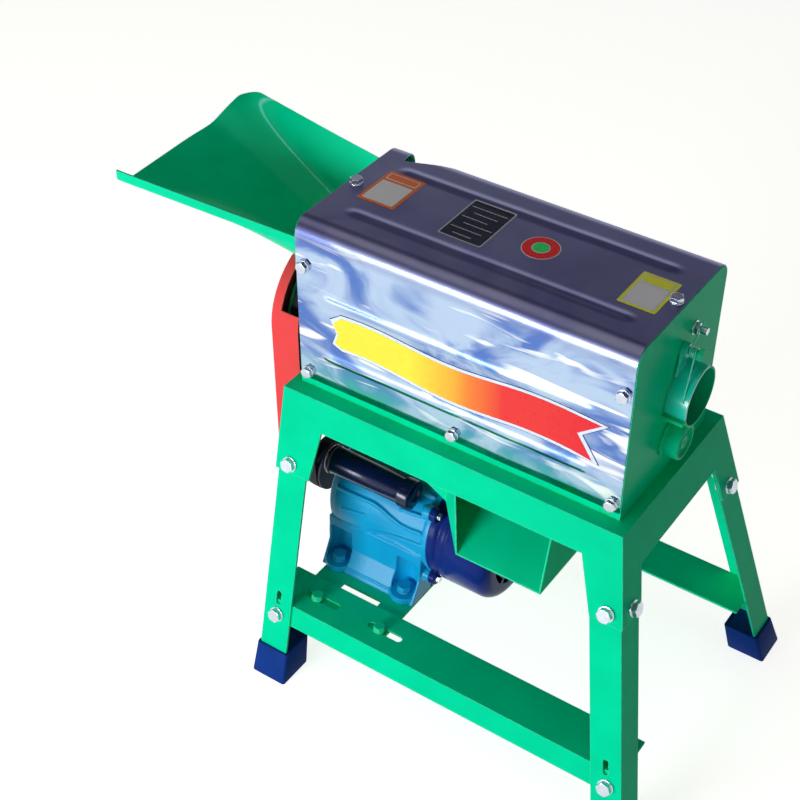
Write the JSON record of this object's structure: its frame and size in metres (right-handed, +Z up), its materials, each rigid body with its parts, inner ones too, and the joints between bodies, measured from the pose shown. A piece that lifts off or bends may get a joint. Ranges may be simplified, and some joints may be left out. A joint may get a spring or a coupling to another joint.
{
  "type": "electric corn sheller",
  "caption": "Belt-driven electric corn sheller: feed hopper, stainless drum hood, sprung cob gate and kernel chute on a green angle-steel stand with its motor below.",
  "frame": {"origin": "on the floor, below the middle of the whole machine's bounding box", "axes": "+X along the drum from the feed hopper to the cob outlet, -Y the front with the kernel chute, +Z up"},
  "size_m": [0.761, 0.4338, 0.6371],
  "materials": {
    "hood_steel": "mirror-bright stainless sheet",
    "green_paint": "glossy green paint",
    "red_paint": "glossy red paint",
    "rubber": "dark blue-black moulded rubber",
    "zinc": "zinc-plated fasteners",
    "motor_paint": "teal-blue machine paint",
    "motor_navy": "dark navy machine paint",
    "capacitor_can": "black-navy moulded plastic",
    "gland_plastic": "black nylon",
    "bare_steel": "turned and ground steel",
    "cast_drum": "cast iron, worn bright at the teeth",
    "pulley_paint": "painted cast iron",
    "belt_rubber": "fabric-faced V-belt rubber",
    "spring_steel": "bright spring wire",
    "fan_plastic": "black moulded plastic"
  },
  "bodies": {
    "stand": {"ball_bearing_left": "bare_steel", "ball_bearing_right": "bare_steel", "base_bolts": "zinc", "bearing_housing_left": "green_paint", "bearing_housing_right": "green_paint", "belt_guard": "red_paint", "boot_back_left": "rubber", "boot_back_right": "rubber", "boot_front_left": "rubber", "boot_front_right": "rubber", "cable_gland": "gland_plastic", "capacitor": "capacitor_can", "capacitor_saddle": "motor_navy", "chute_screws": "zinc", "cob_guide": "green_paint", "concave_sieve": "cast_drum", "drive_belt": "belt_rubber", "end_bell_bolts": "zinc", "end_plate_left": "green_paint", "end_plate_right": "green_paint", "fan_cowl": "motor_navy", "feed_hopper": "green_paint", "gate_hinge_bolt": "green_paint", "gate_spring": "spring_steel", "gate_stop_bar": "green_paint", "guard_bolts": "zinc", "hood_bolts": "zinc", "hood_cover": "hood_steel", "hopper_bolts": "zinc", "housing_base": "green_paint", "kernel_chute": "green_paint", "leg_back_left": "green_paint", "leg_back_right": "green_paint", "leg_bolts": "zinc", "leg_front_left": "green_paint", "leg_front_right": "green_paint", "leg_nuts": "zinc", "motor_body": "motor_paint", "motor_bushes": "bare_steel", "motor_end_bell": "motor_navy", "motor_foot_bolts": "motor_paint", "motor_plate": "green_paint", "outlet_collar": "green_paint", "plate_bolts": "green_paint", "plate_nuts": "green_paint", "rail_back": "green_paint", "rail_bolts": "zinc", "rail_front": "green_paint", "rail_nuts": "zinc", "spring_anchor_bolt": "zinc", "top_frame": "green_paint"},
    "drum": {"drum_shaft": "bare_steel", "threshing_drum": "cast_drum", "drum_pulley": "pulley_paint", "pulley_key": "bare_steel"},
    "rotor": {"motor_rotor": "bare_steel", "motor_pulley": "pulley_paint", "cooling_fan": "fan_plastic"},
    "gate": {"cob_gate": "green_paint"}
  },
  "joints": [
    {"name": "drum_spin", "type": "hinge", "parent": "stand", "child": "drum", "pos_m": [0.06146, 0, 0.456], "axis": [1, 0, 0], "continuous": true},
    {"name": "motor_spin", "type": "hinge", "parent": "stand", "child": "rotor", "pos_m": [0.06146, -0.014, 0.201], "axis": [1, 0, 0], "continuous": true},
    {"name": "gate_swing", "type": "hinge", "parent": "stand", "child": "gate", "pos_m": [0.274, 0.005, 0.572], "axis": [-1, 0, 0], "range_deg": [0, 30], "stiffness_Nm_per_rad": 0.06, "springref_deg": -20.05, "deforming": ["gate_spring"]}
  ],
  "couplings": [
    {"joint": "motor_spin", "follows": "drum_spin", "ratio": 2}
  ]
}
